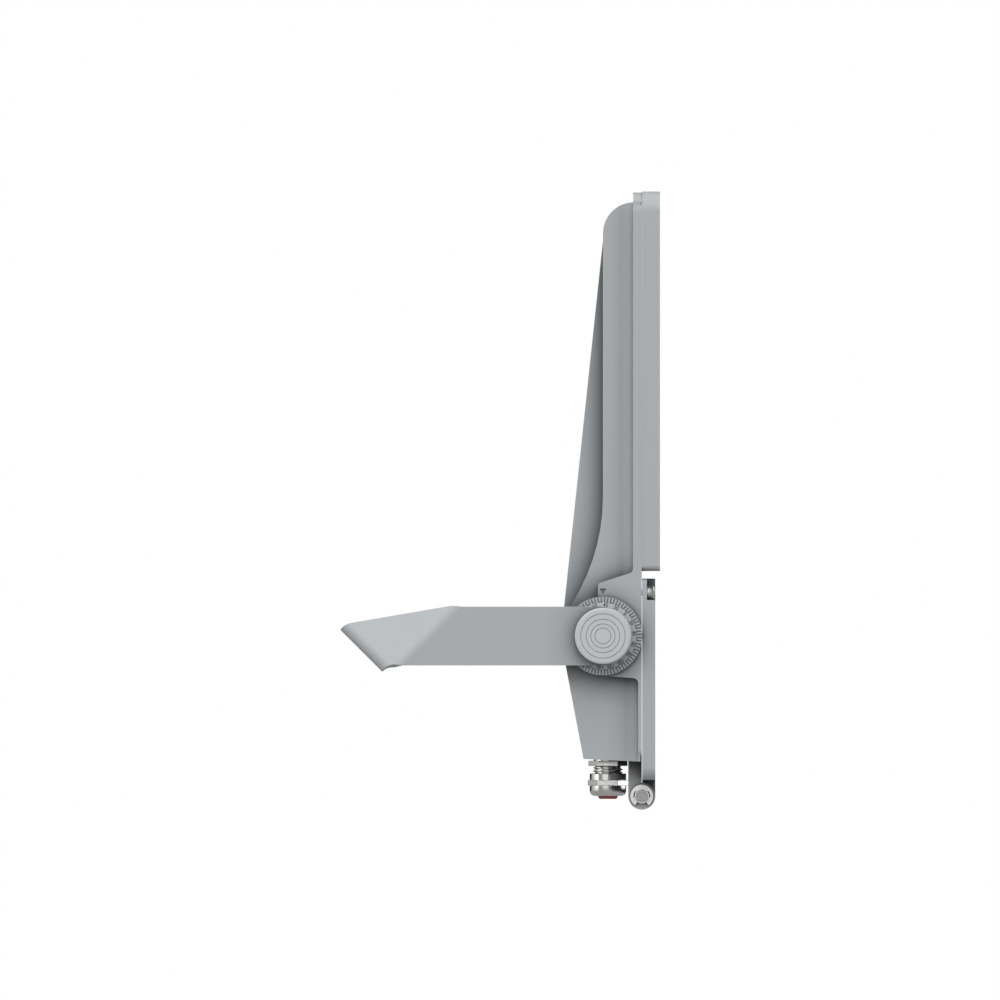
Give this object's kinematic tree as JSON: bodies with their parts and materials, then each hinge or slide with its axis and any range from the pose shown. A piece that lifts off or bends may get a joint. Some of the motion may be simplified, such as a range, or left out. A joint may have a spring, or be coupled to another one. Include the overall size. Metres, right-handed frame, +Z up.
{
  "type": "floodlight",
  "caption": "Area floodlight on a folded flat-bar yoke: glazed lamp frame, finned wedge-backed housing tilting on dial pivots, and a hinged driver cover with a cable gland.",
  "frame": {"origin": "centre of the outer face of the yoke's crossbar, where the light is bolted down", "axes": "+Z up, the lamp shines towards -Y, +X along the tilt axis to the right as seen from in front"},
  "size_m": [0.3772, 0.2172, 0.4204],
  "materials": {
    "cast_paint": "matte fine-textured grey powder coat on die-cast aluminium",
    "bar_paint": "matte fine-textured grey powder coat on steel flat bar",
    "cap_plastic": "light grey moulded plastic",
    "dial_plastic": "grey moulded plastic with raised marks",
    "glass": "clear tempered glass",
    "gasket_rubber": "black silicone",
    "seal_rubber": "red-brown neoprene",
    "stainless": "turned stainless steel",
    "nickel": "nickel-plated brass",
    "brass": "machined brass",
    "board_white": "white solder mask and white sheet",
    "clear_plastic": "clear moulded polycarbonate",
    "tray_steel": "zinc-plated sheet steel",
    "black_plastic": "black moulded plastic",
    "lead_red": "red PVC lead jacket",
    "lead_blue": "blue PVC lead jacket",
    "lead_green": "green PVC lead jacket"
  },
  "bodies": {
    "yoke": {"yoke_bracket": "bar_paint", "dial_left": "dial_plastic", "dial_right": "dial_plastic"},
    "head": {"housing": "cast_paint", "front_frame": "cast_paint", "front_glass": "glass", "glass_gasket": "gasket_rubber", "frame_screw_1": "stainless", "frame_screw_2": "stainless", "frame_screw_3": "stainless", "frame_screw_4": "stainless", "frame_screw_5": "stainless", "frame_screw_6": "stainless", "frame_screw_7": "stainless", "frame_screw_8": "stainless", "led_board_left": "board_white", "led_board_right": "board_white", "lens_plate_left": "clear_plastic", "lens_plate_right": "clear_plastic", "light_mask": "board_white", "gear_tray": "tray_steel", "tray_screw_left": "stainless", "tray_screw_right": "stainless", "led_driver": "black_plastic", "terminal_block": "black_plastic", "surge_protector": "black_plastic", "lead_grommet": "gasket_rubber", "lamp_lead": "black_plastic", "input_lead_1": "lead_red", "input_lead_2": "lead_blue", "input_lead_3": "lead_green", "gland_body": "nickel", "gland_locknut": "nickel", "gland_seal": "seal_rubber", "hinge_pin": "stainless", "hinge_clip_left": "stainless", "hinge_clip_right": "stainless", "thread_insert_left": "brass", "thread_insert_right": "brass", "friction_washer_left": "stainless", "friction_washer_right": "stainless", "pivot_bolt_left": "stainless", "pivot_bolt_right": "stainless"},
    "cover": {"driver_cover": "cast_paint", "cover_gasket": "gasket_rubber"},
    "cover_screw_left": {"cover_screw_left": "stainless"},
    "cover_screw_right": {"cover_screw_right": "stainless"},
    "gland_nut": {"gland_nut": "nickel"},
    "pivot_cap_left": {"pivot_cap_left": "cap_plastic"},
    "pivot_cap_right": {"pivot_cap_right": "cap_plastic"}
  },
  "joints": [
    {"name": "head_tilt", "type": "hinge", "parent": "yoke", "child": "head", "pos_m": [0, -0.16421, 0.0102], "axis": [1, 0, 0], "range_deg": [-75, 90]},
    {"name": "cover_swing", "type": "hinge", "parent": "head", "child": "cover", "pos_m": [0, -0.19061, -0.0987], "axis": [1, 0, 0], "range_deg": [0, 120]},
    {"name": "cover_screw_slide_left", "type": "slide", "parent": "cover", "child": "cover_screw_left", "axis": [0, -1, 0], "range_m": [0, 0.0075]},
    {"name": "cover_screw_slide_right", "type": "slide", "parent": "cover", "child": "cover_screw_right", "axis": [0, -1, 0], "range_m": [0, 0.0075]},
    {"name": "gland_nut_turn", "type": "hinge", "parent": "head", "child": "gland_nut", "pos_m": [0.1, -0.16761, -0.0898], "axis": [0, 0, -1], "range_deg": [0, 180]},
    {"name": "pivot_cap_pull_left", "type": "slide", "parent": "head", "child": "pivot_cap_left", "axis": [-1, 0, 0], "range_m": [0, 0.015]},
    {"name": "pivot_cap_pull_right", "type": "slide", "parent": "head", "child": "pivot_cap_right", "axis": [1, 0, 0], "range_m": [0, 0.015]}
  ]
}
